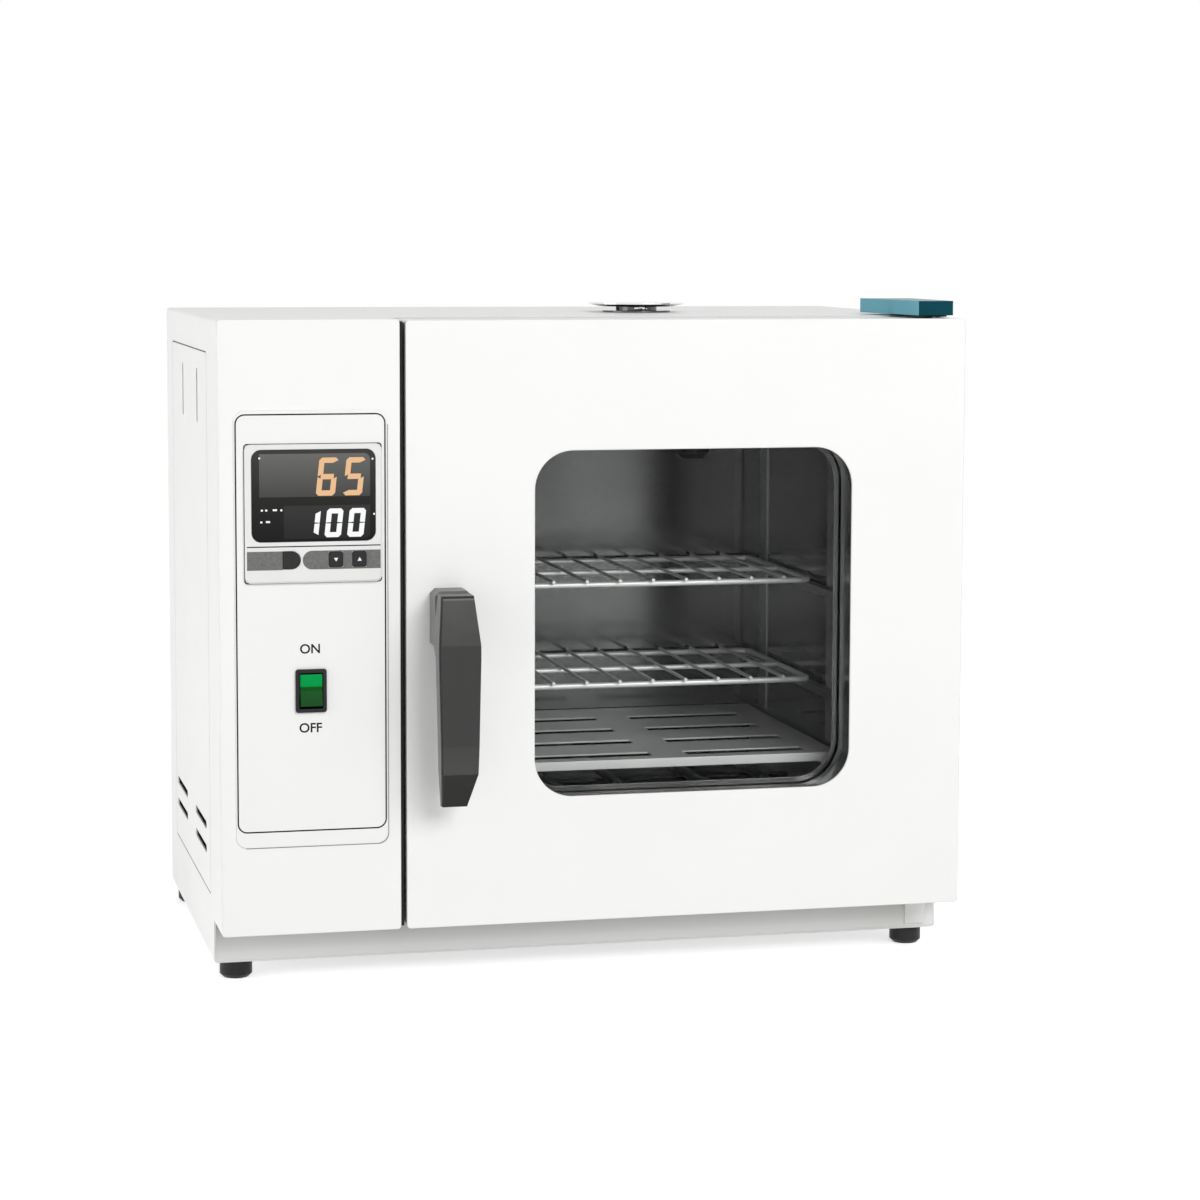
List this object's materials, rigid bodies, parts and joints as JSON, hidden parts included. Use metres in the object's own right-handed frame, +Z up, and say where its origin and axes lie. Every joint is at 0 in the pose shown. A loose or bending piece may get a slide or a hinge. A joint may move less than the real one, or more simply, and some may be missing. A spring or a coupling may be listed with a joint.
{
  "type": "laboratory oven",
  "caption": "Bench laboratory drying oven with a side control section, a windowed hinged door on a turning latch handle, wire shelves and a turning top vent.",
  "frame": {"origin": "on the bench under the middle of the whole oven", "axes": "+Z up, the door faces -Y, +X to the right seen from the front"},
  "size_m": [0.625, 0.459, 0.5595],
  "materials": {
    "white_enamel": "semi-gloss powder coat",
    "plate_enamel": "satin",
    "galvanised": "dull",
    "stainless": "bright brushed",
    "shelf_steel": "bright",
    "heater_steel": "heat tinted",
    "wool": "mineral wool",
    "pane": "clear",
    "gasket": "matt silicone",
    "dark_trim": "matt",
    "chrome_cap": "polished",
    "handle_grey": "fine texture",
    "handle_dark": "fine texture",
    "latch_steel": "turned",
    "hinge_paint": "satin black",
    "cap_teal": "semi-gloss",
    "bezel_white": "satin",
    "case_black": "matt",
    "screen": "glossy",
    "button_dark": "soft",
    "rocker_green": "translucent",
    "foot_rubber": "matt"
  },
  "bodies": {
    "cabinet": {"cabinet_shell": "white_enamel", "front_frame": "white_enamel", "back_panel": "white_enamel", "compartment_wall": "galvanised", "insulation_left": "wool", "insulation_right": "wool", "insulation_top": "wool", "insulation_bottom": "wool", "insulation_back": "wool", "chamber_liner": "stainless", "rack_left": "stainless", "rack_right": "stainless", "false_floor": "stainless", "heaters": "heater_steel", "heater_rests": "stainless", "vent_throat": "stainless", "sensor_rod_piece": "stainless", "sensor_guard_piece": "dark_trim", "control_panel": "white_enamel", "control_plate": "plate_enamel", "controller_case": "case_black", "controller_bezel": "bezel_white", "display_lens": "screen", "switch_housing": "case_black", "divider_strip": "dark_trim", "side_cover": "white_enamel", "cover_frame": "hinge_paint", "mains_inlet": "case_black", "relay": "case_black", "terminal_block": "case_black", "latch_keeper": "galvanised", "hinge_arm_upper": "hinge_paint", "hinge_pin_upper": "latch_steel", "hinge_arm_lower": "hinge_paint", "hinge_pin_lower": "latch_steel", "hinge_cap": "cap_teal", "foot_front_left": "foot_rubber", "foot_front_right": "foot_rubber", "foot_rear_left": "foot_rubber", "foot_rear_right": "foot_rubber"},
    "door": {"door_shell": "white_enamel", "door_liner": "stainless", "door_insulation": "wool", "window_glass_outer": "pane", "window_glass_inner": "pane", "window_surround": "stainless", "door_seal": "gasket", "hinge_block_upper": "galvanised", "hinge_block_lower": "galvanised", "handle_base": "handle_grey"},
    "handle": {"handle_lever": "handle_grey", "handle_cover": "handle_dark", "latch_spindle": "latch_steel"},
    "rocker": {"power_rocker": "rocker_green"},
    "set_button": {"set_button": "button_dark"},
    "down_button": {"down_button": "button_dark"},
    "up_button": {"up_button": "button_dark"},
    "vent_cap": {"vent_cap": "chrome_cap"},
    "upper_shelf": {"shelf_upper": "shelf_steel"},
    "lower_shelf": {"shelf_lower": "shelf_steel"}
  },
  "joints": [
    {"name": "door_swing", "type": "hinge", "parent": "cabinet", "child": "door", "pos_m": [0.2935, -0.1515, 0.298], "axis": [0, 0, 1], "range_deg": [0, 110]},
    {"name": "handle_turn", "type": "hinge", "parent": "door", "child": "handle", "pos_m": [-0.1275, -0.1965, 0.306], "axis": [0, -1, 0], "range_deg": [0, 90]},
    {"name": "power_rock", "type": "hinge", "parent": "cabinet", "child": "rocker", "pos_m": [-0.2395, -0.1725, 0.2485], "axis": [1, 0, 0], "range_deg": [0, 16]},
    {"name": "set_press", "type": "slide", "parent": "cabinet", "child": "set_button", "axis": [0, 1, 0], "range_m": [0, 0.001], "stiffness_N_per_m": 300},
    {"name": "down_press", "type": "slide", "parent": "cabinet", "child": "down_button", "axis": [0, 1, 0], "range_m": [0, 0.001], "stiffness_N_per_m": 300},
    {"name": "up_press", "type": "slide", "parent": "cabinet", "child": "up_button", "axis": [0, 1, 0], "range_m": [0, 0.001], "stiffness_N_per_m": 300},
    {"name": "vent_turn", "type": "hinge", "parent": "cabinet", "child": "vent_cap", "pos_m": [0.0795, 0.0295, 0.551], "axis": [0, 0, 1], "range_deg": [0, 45]},
    {"name": "upper_shelf_slide", "type": "slide", "parent": "cabinet", "child": "upper_shelf", "axis": [0, -1, 0], "range_m": [0, 0.075]},
    {"name": "lower_shelf_slide", "type": "slide", "parent": "cabinet", "child": "lower_shelf", "axis": [0, -1, 0], "range_m": [0, 0.075]}
  ]
}
